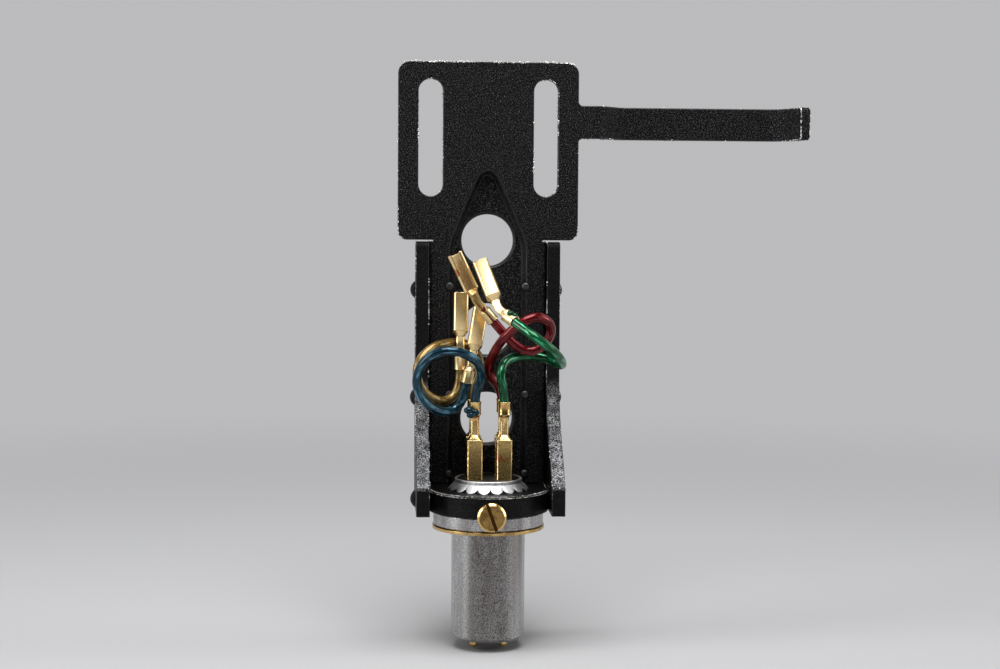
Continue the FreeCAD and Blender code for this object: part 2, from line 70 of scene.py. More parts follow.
# Directions in which the sockets of the loose clips point, away from their sleeves
SOCKET_AIMS = {
    "green": (-1.3, 2.0, 3.5),
    "red": (-1.9, 0.6, 4.0),
    "blue": (0.7, 1.4, 3.8),
    "gold": (0.1, 1.3, 3.9),
}
# Which way the seams of those sockets face: 1 to the rear, -1 to the front
SEAM_SIDES = {"green": 1, "red": -1, "blue": 1, "gold": 1}
# How wide they stand open
SEAM_WIDTHS = {"green": 0.36, "red": 0.8, "blue": 0.36, "gold": 0.36}


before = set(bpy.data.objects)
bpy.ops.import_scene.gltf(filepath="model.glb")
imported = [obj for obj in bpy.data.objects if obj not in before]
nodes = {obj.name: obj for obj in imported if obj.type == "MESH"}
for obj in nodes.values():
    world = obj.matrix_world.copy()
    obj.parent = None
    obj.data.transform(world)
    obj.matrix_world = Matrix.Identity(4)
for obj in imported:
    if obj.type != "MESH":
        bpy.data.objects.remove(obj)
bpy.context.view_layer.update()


def node(tree, kind, **settings):
    made = tree.nodes.new(kind)
    for name, value in settings.items():
        setattr(made, name, value)
    return made


def join(tree, source, target):
    tree.links.new(source, target)


def new_group(name, inputs, outputs):
    """A shader node group with float inputs and named outputs."""
    tree = bpy.data.node_groups.new(name, "ShaderNodeTree")
    for label, value in inputs:
        socket = tree.interface.new_socket(label, in_out="INPUT", socket_type="NodeSocketFloat")
        socket.default_value = value
    for label in outputs:
        tree.interface.new_socket(label, in_out="OUTPUT", socket_type="NodeSocketFloat")
    return tree, node(tree, "NodeGroupInput"), node(tree, "NodeGroupOutput")


def object_coordinates(tree):
    return node(tree, "ShaderNodeTexCoord").outputs["Object"]


def parts_of(tree):
    """The X, Y and Z values of a place on the surface."""
    split = node(tree, "ShaderNodeSeparateXYZ")
    join(tree, object_coordinates(tree), split.inputs["Vector"])
    return split.outputs


def math_node(tree, operation, first, second=None):
    made = node(tree, "ShaderNodeMath", operation=operation)
    for socket, value in zip(made.inputs, (first, second)):
        if value is None:
            continue
        if isinstance(value, (int, float)):
            socket.default_value = value
        else:
            join(tree, value, socket)
    return made.outputs[0]


def noise(tree, scale, detail=2.0, rough=0.5, stretch=None, coordinates="Object"):
    """A noise value on the surface. scale is a socket or cells to the metre."""
    place = node(tree, "ShaderNodeTexCoord").outputs[coordinates]
    if stretch:
        mapping = node(tree, "ShaderNodeMapping")
        mapping.inputs["Scale"].default_value = stretch
        join(tree, place, mapping.inputs["Vector"])
        place = mapping.outputs["Vector"]
    made = node(tree, "ShaderNodeTexNoise")
    join(tree, place, made.inputs["Vector"])
    if isinstance(scale, (int, float)):
        made.inputs["Scale"].default_value = scale
    else:
        join(tree, scale, made.inputs["Scale"])
    made.inputs["Detail"].default_value = detail
    made.inputs["Roughness"].default_value = rough
    return made.outputs["Fac"]


def step(tree, value, low, high):
    """The value spread so that low gives 0 and high gives 1."""
    made = node(tree, "ShaderNodeMapRange", interpolation_type="SMOOTHSTEP")
    for socket, v in ((made.inputs["Value"], value), (made.inputs["From Min"], low),
                      (made.inputs["From Max"], high)):
        if isinstance(v, (int, float)):
            socket.default_value = v
        else:
            join(tree, v, socket)
    return made.outputs["Result"]


def grain_group():
    """The fine pebbled texture of the black paint, paler on the pebbles' tops."""
    tree, given, out = new_group("paint_grain", [("Scale", 4000.0), ("Flecks", 0.5)],
                                 ["Height", "Fleck"])
    fine = noise(tree, given.outputs["Scale"], 2.0, 0.7)
    join(tree, step(tree, fine, 0.35, 0.7), out.inputs["Height"])
    tops = step(tree, fine, 0.52, 0.66)
    cells = node(tree, "ShaderNodeTexVoronoi")
    join(tree, object_coordinates(tree), cells.inputs["Vector"])
    cells.inputs["Scale"].default_value = 2600.0
    speck = step(tree, cells.outputs["Distance"], 0.2, 0.1)
    chosen = step(tree, noise(tree, 1400.0, 2.0), 0.6, 0.64)
    speck = math_node(tree, "MULTIPLY", speck, chosen)
    both = math_node(tree, "MAXIMUM", math_node(tree, "MULTIPLY", tops, 0.6), speck)
    join(tree, math_node(tree, "MULTIPLY", both, given.outputs["Flecks"]), out.inputs["Fleck"])
    return tree


def wear_group():
    """Where an edge is worn down to bright metal, in uneven dots and short lines."""
    tree, given, out = new_group("edge_rub", [("Scale", 2500.0), ("Cover", 0.5)], ["Mask"])
    dots = noise(tree, given.outputs["Scale"], 3.0, 0.7)
    runs = noise(tree, 260.0, 2.0)
    mixed = math_node(tree, "ADD", math_node(tree, "MULTIPLY", dots, 0.6),
                      math_node(tree, "MULTIPLY", runs, 0.4))
    wanted = math_node(tree, "MULTIPLY", given.outputs["Cover"], 0.5)
    limit = math_node(tree, "SUBTRACT", 0.8, wanted)
    join(tree, step(tree, mixed, limit, math_node(tree, "ADD", limit, 0.04)), out.inputs["Mask"])
    return tree


def mottle_group():
    """Soft uneven clouding of a metal or a glossy cover."""
    tree, given, out = new_group("mottle", [("Scale", 800.0), ("Low", 0.35), ("High", 0.65)], ["Mask"])
    cloud = noise(tree, given.outputs["Scale"], 4.0, 0.6)
    join(tree, step(tree, cloud, given.outputs["Low"], given.outputs["High"]), out.inputs["Mask"])
    return tree


GRAIN, WEAR, MOTTLE = grain_group(), wear_group(), mottle_group()


def use(tree, group, **values):
    made = node(tree, "ShaderNodeGroup", node_tree=group)
    for name, value in values.items():
        made.inputs[name].default_value = value
    return made


def blank(name):
    material = bpy.data.materials.new(name)
    material.use_nodes = True
    tree = material.node_tree
    return material, tree, tree.nodes["Principled BSDF"]


def blend(tree, mask, first, second):
    """A colour between two, by a mask. Either may be a socket."""
    made = node(tree, "ShaderNodeMix", data_type="RGBA")
    join(tree, mask, made.inputs["Factor"])
    for index, value in ((6, first), (7, second)):
        if isinstance(value, tuple):
            made.inputs[index].default_value = (*value, 1.0)
        else:
            join(tree, value, made.inputs[index])
    return made.outputs[2]


def bump(tree, height, strength, distance):
    made = node(tree, "ShaderNodeBump")
    made.inputs["Strength"].default_value = strength
    made.inputs["Distance"].default_value = distance
    join(tree, height, made.inputs["Height"])
    return made.outputs["Normal"]


def between(tree, mask, low, high):
    """A plain value between two, by a mask."""
    made = node(tree, "ShaderNodeMapRange")
    join(tree, mask, made.inputs["Value"])
    made.inputs["To Min"].default_value = low
    made.inputs["To Max"].default_value = high
    return made.outputs["Result"]


# Where the rails lie, which their paint goes by
RAIL_INSIDE, RAIL_OUTSIDE, RAIL_FRONT = 6.5, 7.95, 2.6
NOSE_TOP, SLOPE_TOP, THROAT_TOP = 4.6, 12.5, 16.4


def slope_mask(tree):
    """Where the rails' front faces slope: between their sides, from the nose to the throat."""
    parts = parts_of(tree)
    aside = math_node(tree, "ABSOLUTE", parts["X"])
    mask = step(tree, parts["Y"], (RAIL_FRONT + 0.6) * MM, (RAIL_FRONT + 0.3) * MM)
    for value, none, full in ((aside, RAIL_INSIDE, RAIL_INSIDE + 0.06),
                              (aside, RAIL_OUTSIDE, RAIL_OUTSIDE - 0.06),
                              (parts["Z"], NOSE_TOP, NOSE_TOP + 0.3),
                              (parts["Z"], THROAT_TOP, SLOPE_TOP)):
        mask = math_node(tree, "MULTIPLY", mask, step(tree, value, none * MM, full * MM))
    return mask


def black_paint(name, colour, scale, relief, rough, flecks, fleck_colour, gloss, slopes=None):
    """Fine pebbled black paint with light flecks. gloss is how strongly its face reflects.

    The last argument, if given, is the pale colour of a painted sheen in thick speckle on the faces
    that lean forwards and up, towards the light above.
    """
    material, tree, shader = blank(name)
    grain = use(tree, GRAIN, Scale=scale, Flecks=flecks)
    tone = blend(tree, grain.outputs["Fleck"], colour, fleck_colour)
    if slopes:
        speckle = step(tree, noise(tree, 7000.0, 2.0, 0.7), 0.4, 0.62)
        patches = between(tree, step(tree, noise(tree, 900.0, 2.0), 0.35, 0.65), 0.35, 1.0)
        speckle = math_node(tree, "MULTIPLY", speckle, patches)
        # Painted sheen: the sloping front faces are paled in speckles where they would gleam under the
        # light from above.
        painted_sheen = math_node(tree, "MULTIPLY", speckle, slope_mask(tree))
        tone = blend(tree, painted_sheen, tone, slopes)
    join(tree, tone, shader.inputs["Base Color"])
    cloud = use(tree, MOTTLE, Scale=350.0)
    join(tree, between(tree, cloud.outputs["Mask"], *rough), shader.inputs["Roughness"])
    join(tree, bump(tree, grain.outputs["Height"], 1.0, relief * MM), shader.inputs["Normal"])
    shader.inputs["Specular IOR Level"].default_value = gloss
    return material


def worn_edge(name, colour, scale, cover):
    """An edge worn bright in places. cover is how much, as a function that gives a socket."""
    material, tree, shader = blank(name)
    rub = use(tree, WEAR, Scale=scale)
    join(tree, cover(tree), rub.inputs["Cover"])
    join(tree, blend(tree, rub.outputs["Mask"], colour, WORN), shader.inputs["Base Color"])
    join(tree, between(tree, rub.outputs["Mask"], 0.0, 1.0), shader.inputs["Metallic"])
    shader.inputs["Roughness"].default_value = 0.4
    grain = use(tree, GRAIN, Scale=4000.0)
    join(tree, bump(tree, grain.outputs["Height"], 1.0, 0.01 * MM), shader.inputs["Normal"])
    return material


def bare_metal(name, colour, dull, rough, scale, relief):
    """A metal that is clouded with a duller colour, with fine marks on its surface."""
    material, tree, shader = blank(name)
    cloud = use(tree, MOTTLE, Scale=scale)
    join(tree, blend(tree, cloud.outputs["Mask"], colour, dull), shader.inputs["Base Color"])
    join(tree, between(tree, cloud.outputs["Mask"], *rough), shader.inputs["Roughness"])
    shader.inputs["Metallic"].default_value = 1.0
    marks = noise(tree, 5000.0, 3.0, 0.6)
    join(tree, bump(tree, marks, 0.6, relief * MM), shader.inputs["Normal"])
    return material


def turned_aluminium():
    """Satin aluminium with fine grain, soft streaks along the barrel, and a patchy painted dark
    reflection, brownish, down the barrel's front.
    """
    material, tree, shader = blank("barrel_aluminium")
    grain = step(tree, noise(tree, 7500.0, 2.0, 0.7), 0.38, 0.62)
    plain = blend(tree, grain, (0.62, 0.62, 0.63), (0.27, 0.265, 0.26))
    streaks = step(tree, noise(tree, 420.0, 3.0, 0.5, (1.0, 1.0, 0.06)), 0.4, 0.68)
    plain = blend(tree, streaks, plain, (0.24, 0.22, 0.205))
    parts = parts_of(tree)
    # Painted reflection: below the seat, the barrel's front is darkened in patches to a brownish black,
    # standing in for dark surroundings mirrored there.
    front = math_node(tree, "MULTIPLY", step(tree, parts["Y"], -2.6 * MM, -3.9 * MM),
                      step(tree, parts["Z"], 0.2 * MM, -0.1 * MM))
    patchy = between(tree, noise(tree, 700.0, 2.0, 0.5, (1.0, 1.0, 0.3)), 0.5, 1.0)
    painted_dark_reflection = blend(tree, grain, (0.17, 0.15, 0.138), (0.05, 0.043, 0.04))
    front = math_node(tree, "MULTIPLY", front, patchy)
    join(tree, blend(tree, front, plain, painted_dark_reflection), shader.inputs["Base Color"])
    join(tree, between(tree, grain, 0.2, 0.32), shader.inputs["Roughness"])
    shader.inputs["Metallic"].default_value = 1.0
    return material


def gold_plating(name, colour, dull, low, tarnish_low, rough, dent):
    """Gold plating with fine dull marks, and copper-red tarnish in a few patches."""
    material, tree, shader = blank(name)
    marks = use(tree, MOTTLE, Scale=4600.0, Low=low, High=low + 0.24)
    plain = blend(tree, marks.outputs["Mask"], colour, dull)
    tarnish = use(tree, MOTTLE, Scale=420.0, Low=tarnish_low, High=tarnish_low + 0.1)
    tone = blend(tree, tarnish.outputs["Mask"], plain, (0.62, 0.24, 0.09))
    join(tree, tone, shader.inputs["Base Color"])
    join(tree, between(tree, marks.outputs["Mask"], *rough), shader.inputs["Roughness"])
    shader.inputs["Metallic"].default_value = 1.0
    dents = noise(tree, 900.0, 2.0, 0.5)
    join(tree, bump(tree, dents, dent, 0.02 * MM), shader.inputs["Normal"])
    return material


def insulation(name, colour, deep, strand):
    """A glossy clear-coloured cover. The wire's strands show through in streaks along it."""
    material, tree, shader = blank(name)
    cloud = use(tree, MOTTLE, Scale=500.0)
    plain = blend(tree, cloud.outputs["Mask"], colour, deep)
    lines = noise(tree, 1.0, 2.0, 0.6, (14.0, 9.0, 1.0), "UV")
    streaks = step(tree, lines, 0.52, 0.66)
    join(tree, blend(tree, streaks, plain, strand), shader.inputs["Base Color"])
    shader.inputs["Metallic"].default_value = 0.45
    shader.inputs["Roughness"].default_value = 0.28
    shader.inputs["Specular IOR Level"].default_value = 0.0
    shader.inputs["Coat Weight"].default_value = 0.6
    shader.inputs["Coat Roughness"].default_value = 0.04
    marks = noise(tree, 1800.0, 3.0)
    ridges = math_node(tree, "ADD", math_node(tree, "MULTIPLY", lines, 0.6),
                       math_node(tree, "MULTIPLY", marks, 0.4))
    join(tree, bump(tree, ridges, 0.7, 0.06 * MM), shader.inputs["Normal"])
    return material


# Where wear starts and where it is full, in millimetres from the origin
HEAD_SIDE, HEAD_TOP = (8.9, 9.2), (49.9, 50.3)
LIFT_ROOT, LIFT_END = (10.5, 10.1), (33.0, 34.0)
COLLAR_TOP = (3.2, 3.6)


def past(tree, value, limits):
    """A mask over a place's X, Y or Z between two limits in millimetres."""
    return step(tree, value, limits[0] * MM, limits[1] * MM)


def head_cover(tree):
    """Wear on the plate: its outline is worn, and its inner edges hardly at all."""
    parts = parts_of(tree)
    aside = math_node(tree, "ABSOLUTE", parts["X"])
    sides = math_node(tree, "MULTIPLY", past(tree, aside, HEAD_SIDE), past(tree, parts["X"], LIFT_ROOT))
    sides = math_node(tree, "MULTIPLY", sides, 0.55)
    outline = math_node(tree, "MAXIMUM", sides, past(tree, parts["Z"], HEAD_TOP))
    outline = math_node(tree, "MAXIMUM", outline, past(tree, parts["X"], LIFT_END))
    return between(tree, outline, 0.1, 0.6)


def even_cover(tree):
    """The same wear all over the rails, which stand above the plug's seat."""
    return between(tree, past(tree, parts_of(tree)["Z"], (0.0, 1.0)), 0.0, 0.35)


def top_cover(tree):
    """Wear on the collar's upper edge only."""
    return between(tree, past(tree, parts_of(tree)["Z"], COLLAR_TOP), 0.0, 0.32)


BLACK = (0.002, 0.002, 0.0023)
FLECK = (0.15, 0.15, 0.16)
WORN = (0.85, 0.84, 0.82)
PLATE = black_paint("plate_paint", BLACK, 7600.0, 0.03, (0.4, 0.5), 0.85, FLECK, 0.1)
# The rails' last colour is the painted sheen on their sloping fronts.
RAIL = black_paint("rail_paint", BLACK, 9000.0, 0.03, (0.28, 0.36), 0.1, FLECK, 0.1, (0.62, 0.63, 0.65))
COLLAR = black_paint("collar_paint", BLACK, 8000.0, 0.02, (0.35, 0.45), 0.2, FLECK, 0.1)
PLATE_EDGE = worn_edge("plate_edge", BLACK, 3000.0, head_cover)
RAIL_EDGE = worn_edge("rail_edge", BLACK, 3000.0, even_cover)
COLLAR_EDGE = worn_edge("collar_edge", BLACK, 4000.0, top_cover)
ALUMINIUM = turned_aluminium()
RING = bare_metal("ring_aluminium", (0.85, 0.85, 0.85), (0.6, 0.6, 0.6), (0.4, 0.55), 2500.0, 0.01)
STEEL = bare_metal("pin_steel", (0.1, 0.1, 0.105), (0.05, 0.05, 0.05), (0.45, 0.55), 900.0, 0.004)
BRASS = bare_metal("washer_brass", (0.66, 0.45, 0.18), (0.42, 0.27, 0.1), (0.2, 0.35), 900.0, 0.005)
GOLD = gold_plating("contact_gold", (0.85, 0.6, 0.24), (0.42, 0.28, 0.09),
                    0.42, 0.56, (0.18, 0.3), 0.35)
PALE_GOLD = gold_plating("clip_gold", (1.0, 0.77, 0.4), (0.86, 0.62, 0.28),
                         0.46, 0.62, (0.3, 0.38), 0.2)
EDGE_GOLD = bare_metal("clip_edge", (1.0, 0.8, 0.45), (0.92, 0.68, 0.32), (0.2, 0.26), 900.0, 0.002)
CHIP = bare_metal("chipped_metal", WORN, (0.5, 0.5, 0.49), (0.35, 0.5), 3000.0, 0.004)
INSULATOR = black_paint("core_insulator", BLACK, 3000.0, 0.004, (0.4, 0.5), 0.0, (0.1, 0.1, 0.1), 0.4)
COVERS = {
    "green": insulation("green_cover", (0.001, 0.1, 0.03), (0.0005, 0.045, 0.013), (0.04, 0.38, 0.18)),
    "red": insulation("red_cover", (0.16, 0.0015, 0.004), (0.07, 0.0006, 0.002), (0.42, 0.04, 0.05)),
    "blue": insulation("blue_cover", (0.003, 0.045, 0.072), (0.0015, 0.022, 0.038), (0.08, 0.22, 0.31)),
    "gold": insulation("amber_cover", (0.26, 0.165, 0.045), (0.12, 0.07, 0.016), (0.62, 0.48, 0.2)),
}


def screw_brass():
    """Brass with a mottled face, a painted highlight round the face's edge, and painted shade, dark
    brown, in its slot and behind its face.
    """
    material, tree, shader = blank("screw_brass")
    places = [v.co for v in nodes["clamp_screw"].data.vertices]
    face = min(p.y for p in places)
    middle = (min(p.z for p in places) + max(p.z for p in places)) / 2
    radius = max(p.z for p in places) - middle
    parts = parts_of(tree)
    # Painted shade: dark brown wherever the surface lies deeper than the screw's face, in its slot and
    # behind it.
    deep = step(tree, parts["Y"], face + 0.24 * MM, face + 0.32 * MM)
    height = math_node(tree, "SUBTRACT", parts["Z"], middle)
    squares = math_node(tree, "ADD", math_node(tree, "MULTIPLY", parts["X"], parts["X"]),
                        math_node(tree, "MULTIPLY", height, height))
    # Painted highlight: a bright ring round the edge of the screw's face.
    rim = step(tree, math_node(tree, "SQRT", squares), 0.84 * radius, 0.9 * radius)
    cloud = use(tree, MOTTLE, Scale=1500.0)
    disc = blend(tree, cloud.outputs["Mask"], (0.4, 0.25, 0.085), (0.2, 0.11, 0.035))
    face_tone = blend(tree, rim, disc, (0.74, 0.51, 0.2))
    join(tree, blend(tree, deep, face_tone, (0.1, 0.045, 0.012)), shader.inputs["Base Color"])
    join(tree, between(tree, deep, 0.22, 0.5), shader.inputs["Roughness"])
    shader.inputs["Metallic"].default_value = 1.0
    return material


SCREW = screw_brass()


def smooth_tree():
    """Joins a solid's loose triangles and shades it smooth up to its sharp edges."""
    tree = bpy.data.node_groups.new("joined_and_smooth", "GeometryNodeTree")
    tree.interface.new_socket("Geometry", in_out="INPUT", socket_type="NodeSocketGeometry")
    angle = tree.interface.new_socket("Sharp Angle", in_out="INPUT", socket_type="NodeSocketFloat")
    angle.default_value = math.radians(32)
    tree.interface.new_socket("Geometry", in_out="OUTPUT", socket_type="NodeSocketGeometry")
    given, out = node(tree, "NodeGroupInput"), node(tree, "NodeGroupOutput")
    merged = node(tree, "GeometryNodeMergeByDistance")
    merged.inputs["Distance"].default_value = MERGE
    join(tree, given.outputs["Geometry"], merged.inputs["Geometry"])
    faces = node(tree, "GeometryNodeSetShadeSmooth", domain="FACE")
    join(tree, merged.outputs["Geometry"], faces.inputs["Geometry"])
    bent = node(tree, "GeometryNodeInputMeshEdgeAngle")
    sharp = node(tree, "FunctionNodeCompare", operation="GREATER_THAN")
    join(tree, bent.outputs["Unsigned Angle"], sharp.inputs["A"])
    join(tree, given.outputs["Sharp Angle"], sharp.inputs["B"])
    edges = node(tree, "GeometryNodeSetShadeSmooth", domain="EDGE")
    edges.inputs["Shade Smooth"].default_value = False
    join(tree, faces.outputs["Geometry"], edges.inputs["Geometry"])
    join(tree, sharp.outputs["Result"], edges.inputs["Selection"])
    join(tree, edges.outputs["Geometry"], out.inputs["Geometry"])
    return tree


SMOOTH = smooth_tree()


def smooth_and_soften(piece, edge, edge_material=0):
    """Shades a piece smooth up to its sharp edges, and rounds those by an edge size."""
    smooth = piece.modifiers.new("smooth", "NODES")
    smooth.node_group = SMOOTH
    if edge:
        flat = piece.modifiers.new("flat_faces", "DECIMATE")
        flat.decimate_type = "DISSOLVE"
        flat.angle_limit = math.radians(0.5)
        bevel = piece.modifiers.new("soft_edges", "BEVEL")
        bevel.use_clamp_overlap = False
        bevel.harden_normals = True
        bevel.width = edge * MM
        bevel.segments = 2
        bevel.limit_method = "ANGLE"
        bevel.angle_limit = math.radians(35)
        bevel.material = edge_material


def finish(name, *materials, edge=0.0):
    """Gives a node its materials and softens its edges. The last material is the edges'."""
    piece = nodes[name]
    piece.data.materials.clear()
    for material in materials:
        piece.data.materials.append(material)
    smooth_and_soften(piece, edge, len(materials) - 1)


finish("cartridge_plate", PLATE, PLATE_EDGE, edge=0.12)
for side in ("left", "right"):
    finish(side + "_rail", RAIL, RAIL_EDGE, edge=0.08)
    for level in ("upper", "middle", "lower"):
        finish(side + "_" + level + "_rivet", RAIL, edge=0.05)
    for number in "123":
        finish(side + "_edge_pin_" + number, STEEL)
finish("collar", COLLAR, COLLAR_EDGE, edge=0.05)
finish("plug_barrel", ALUMINIUM, edge=0.05)
finish("plug_core", INSULATOR, edge=0.05)
finish("locating_pin", STEEL, edge=0.05)
finish("seat_washer", BRASS, edge=0.06)
finish("clamp_screw", SCREW, edge=0.03)
for lead in ROUTES:
    finish("contact_" + lead, GOLD)


def chips_tree():
    """Small bright flakes scattered in runs along the sharp edges of a solid."""
    tree = bpy.data.node_groups.new("edge_chips", "GeometryNodeTree")
    sockets = {}
    tree.interface.new_socket("Geometry", in_out="INPUT", socket_type="NodeSocketGeometry")
    for label, kind in (("Sharp Angle", "Float"), ("Lowest", "Float"), ("Inner", "Float"),
                        ("Spacing", "Float"), ("Size", "Float"), ("Cover", "Float"),
                        ("Run Scale", "Float"), ("Seed", "Int"), ("Material", "Material")):
        socket = tree.interface.new_socket(label, in_out="INPUT", socket_type="NodeSocket" + kind)
        sockets[label] = socket.identifier
    tree.interface.new_socket("Geometry", in_out="OUTPUT", socket_type="NodeSocketGeometry")
    given, out = node(tree, "NodeGroupInput"), node(tree, "NodeGroupOutput")
    merged = node(tree, "GeometryNodeMergeByDistance")
    merged.inputs["Distance"].default_value = MERGE
    join(tree, given.outputs["Geometry"], merged.inputs["Geometry"])
    sharp = node(tree, "FunctionNodeCompare", operation="GREATER_THAN")
    bent = node(tree, "GeometryNodeInputMeshEdgeAngle")
    join(tree, bent.outputs["Unsigned Angle"], sharp.inputs["A"])
    join(tree, given.outputs["Sharp Angle"], sharp.inputs["B"])
    line = node(tree, "GeometryNodeMeshToCurve")
    join(tree, merged.outputs["Geometry"], line.inputs["Mesh"])
    join(tree, sharp.outputs["Result"], line.inputs["Selection"])
    points = node(tree, "GeometryNodeResampleCurve", mode="LENGTH")
    join(tree, line.outputs["Curve"], points.inputs["Curve"])
    join(tree, given.outputs["Spacing"], points.inputs["Length"])
    place = node(tree, "GeometryNodeInputPosition")
    runs = node(tree, "ShaderNodeTexNoise")
    join(tree, place.outputs["Position"], runs.inputs["Vector"])
    join(tree, given.outputs["Run Scale"], runs.inputs["Scale"])
    runs.inputs["Detail"].default_value = 2.0
    lucky = node(tree, "FunctionNodeRandomValue", data_type="FLOAT")
    lucky.inputs["Min"].default_value, lucky.inputs["Max"].default_value = -0.15, 0.15
    join(tree, given.outputs["Seed"], lucky.inputs["Seed"])
    chance = node(tree, "ShaderNodeMath", operation="ADD")
    join(tree, runs.outputs["Fac"], chance.inputs[0])
    join(tree, lucky.outputs[1], chance.inputs[1])
    limit = node(tree, "ShaderNodeMath", operation="SUBTRACT")
    limit.inputs[0].default_value = 1.0
    join(tree, given.outputs["Cover"], limit.inputs[1])
    chosen = node(tree, "FunctionNodeCompare", operation="GREATER_THAN")
    join(tree, chance.outputs[0], chosen.inputs["A"])
    join(tree, limit.outputs[0], chosen.inputs["B"])
    parts = node(tree, "ShaderNodeSeparateXYZ")
    join(tree, place.outputs["Position"], parts.inputs["Vector"])
    aside = node(tree, "ShaderNodeMath", operation="ABSOLUTE")
    join(tree, parts.outputs["X"], aside.inputs[0])
    for value, least in ((parts.outputs["Z"], "Lowest"), (aside.outputs[0], "Inner")):
        within = node(tree, "FunctionNodeCompare", operation="GREATER_THAN")
        join(tree, value, within.inputs["A"])
        join(tree, given.outputs[least], within.inputs["B"])
        both = node(tree, "FunctionNodeBooleanMath", operation="AND")
        join(tree, chosen.outputs[0], both.inputs[0])
        join(tree, within.outputs["Result"], both.inputs[1])
        chosen = both
    flake = node(tree, "GeometryNodeMeshIcoSphere")
    flake.inputs["Subdivisions"].default_value = 1
    join(tree, given.outputs["Size"], flake.inputs["Radius"])
    spread_of = node(tree, "FunctionNodeRandomValue", data_type="FLOAT_VECTOR")
    spread_of.inputs["Min"].default_value = (0.4, 0.4, 0.4)
    spread_of.inputs["Max"].default_value = (1.5, 1.5, 1.5)
    join(tree, given.outputs["Seed"], spread_of.inputs["Seed"])
    placed = node(tree, "GeometryNodeInstanceOnPoints")
    join(tree, points.outputs["Curve"], placed.inputs["Points"])
    join(tree, chosen.outputs[0], placed.inputs["Selection"])
    join(tree, flake.outputs["Mesh"], placed.inputs["Instance"])
    join(tree, spread_of.outputs["Value"], placed.inputs["Scale"])
    real = node(tree, "GeometryNodeRealizeInstances")
    join(tree, placed.outputs["Instances"], real.inputs["Geometry"])
    coated = node(tree, "GeometryNodeSetMaterial")
    join(tree, real.outputs["Geometry"], coated.inputs["Geometry"])
    join(tree, given.outputs["Material"], coated.inputs["Material"])
    join(tree, coated.outputs["Geometry"], out.inputs["Geometry"])
    return tree, sockets


CHIPS, CHIP_SOCKETS = chips_tree()


def chips(name, place, cover, lowest, inner=0.0, sharp=40, size=0.08, seed=7):
    """Chips on one node's edges above a height and outside a distance from the middle."""
    maker = bpy.data.objects.new("chips_maker", nodes[name].data.copy())
    bpy.context.collection.objects.link(maker)
    made = maker.modifiers.new("chips", "NODES")
    made.node_group = CHIPS
    for label, value in (("Sharp Angle", math.radians(sharp)), ("Lowest", lowest * MM),
                         ("Inner", inner * MM), ("Spacing", 0.16 * MM), ("Size", size * MM),
                         ("Cover", cover), ("Run Scale", 350.0), ("Seed", seed), ("Material", CHIP)):
        made[CHIP_SOCKETS[label]] = value
    graph = bpy.context.evaluated_depsgraph_get()
    mesh = bpy.data.meshes.new_from_object(maker.evaluated_get(graph), depsgraph=graph)
    bpy.data.objects.remove(maker)
    piece = bpy.data.objects.new(place + "_chips", mesh)
    bpy.context.collection.objects.link(piece)
    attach(piece, "root")


chips("cartridge_plate", "top_edge", 0.64, 50.1, sharp=18, size=0.09)
chips("cartridge_plate", "slot_and_side", 0.34, 34.5, inner=4.9, sharp=18)
chips("left_rail", "left_rail", 0.44, 4.5, size=0.07)
chips("right_rail", "right_rail", 0.44, 4.5, size=0.07)
chips("collar", "collar", 0.56, 4.0, size=0.06)


def new_piece(name, corners, faces, *materials):
    """A mesh object with its faces turned outwards."""
    mesh = bpy.data.meshes.new(name)
    mesh.from_pydata([Vector(c) * MM for c in corners], [], faces)
    shape = bmesh.new()
    shape.from_mesh(mesh)
    bmesh.ops.remove_doubles(shape, verts=shape.verts, dist=MERGE)
    bmesh.ops.recalc_face_normals(shape, faces=shape.faces)
    shape.to_mesh(mesh)
    shape.free()
    for material in materials:
        mesh.materials.append(material)
    piece = bpy.data.objects.new(name, mesh)
    bpy.context.collection.objects.link(piece)
    return piece


def grid_faces(rows, columns, closed=False):
    """Faces between rows of points, and round from the last column to the first if closed."""
    spans = columns if closed else columns - 1
    return [(r * columns + c, r * columns + (c + 1) % columns,
             (r + 1) * columns + (c + 1) % columns, (r + 1) * columns + c)
            for r in range(rows - 1) for c in range(spans)]


# Crimped ring on the collar: a thin rim, and a skirt of rounded teeth that slopes outwards
RIM_INSIDE, RIM_OUTSIDE, RIM_TOP = 3.4, 3.68, 5.4
SKIRT_TOP, SKIRT_SLOPE, SKIRT_SHEET = 4.95, 1.0, 0.13
TOOTH_ROOT, TOOTH_TIP, TEETH = 3.93, 4.4, 18
RING_FOOT = 4.2


def ring_section(tip):
    """Radius and height round the ring's section where its skirt reaches out to a radius."""
    edge = SKIRT_TOP - SKIRT_SLOPE * (tip - RIM_OUTSIDE)
    return [
        (RIM_INSIDE, RING_FOOT), (RIM_OUTSIDE - 0.1, RING_FOOT), (RIM_OUTSIDE, SKIRT_TOP - 0.3),
        (tip - 0.06, edge - SKIRT_SHEET + 0.04), (tip, edge - SKIRT_SHEET + 0.03),
        (tip + 0.02, edge - 0.04),
        (tip - 0.04, edge + 0.05), (RIM_OUTSIDE + 0.05, SKIRT_TOP), (RIM_OUTSIDE, SKIRT_TOP + 0.06),
        (RIM_OUTSIDE, RIM_TOP - 0.07), (RIM_OUTSIDE - 0.07, RIM_TOP), (RIM_INSIDE + 0.07, RIM_TOP),
        (RIM_INSIDE, RIM_TOP - 0.07),
    ]


def toothed_ring():
    around = TEETH * 16
    corners, faces = [], []
    section = len(ring_section(TOOTH_TIP))
    for i in range(around):
        turn = 2 * math.pi * i / around
        tip = TOOTH_ROOT + (TOOTH_TIP - 0.02 - TOOTH_ROOT) * abs(math.cos(TEETH / 2 * turn)) ** 0.6
        corners += [(r * math.cos(turn), r * math.sin(turn), height) for r, height in ring_section(tip)]
        for j in range(section):
            a, b, k = i * section, (i + 1) % around * section, (j + 1) % section
            faces.append((a + j, b + j, b + k, a + k))
    piece = new_piece("crimped_ring", corners, faces, RING)
    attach(piece, "root")
    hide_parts("toothed_ring")
    smooth_and_soften(piece, 0)


toothed_ring()

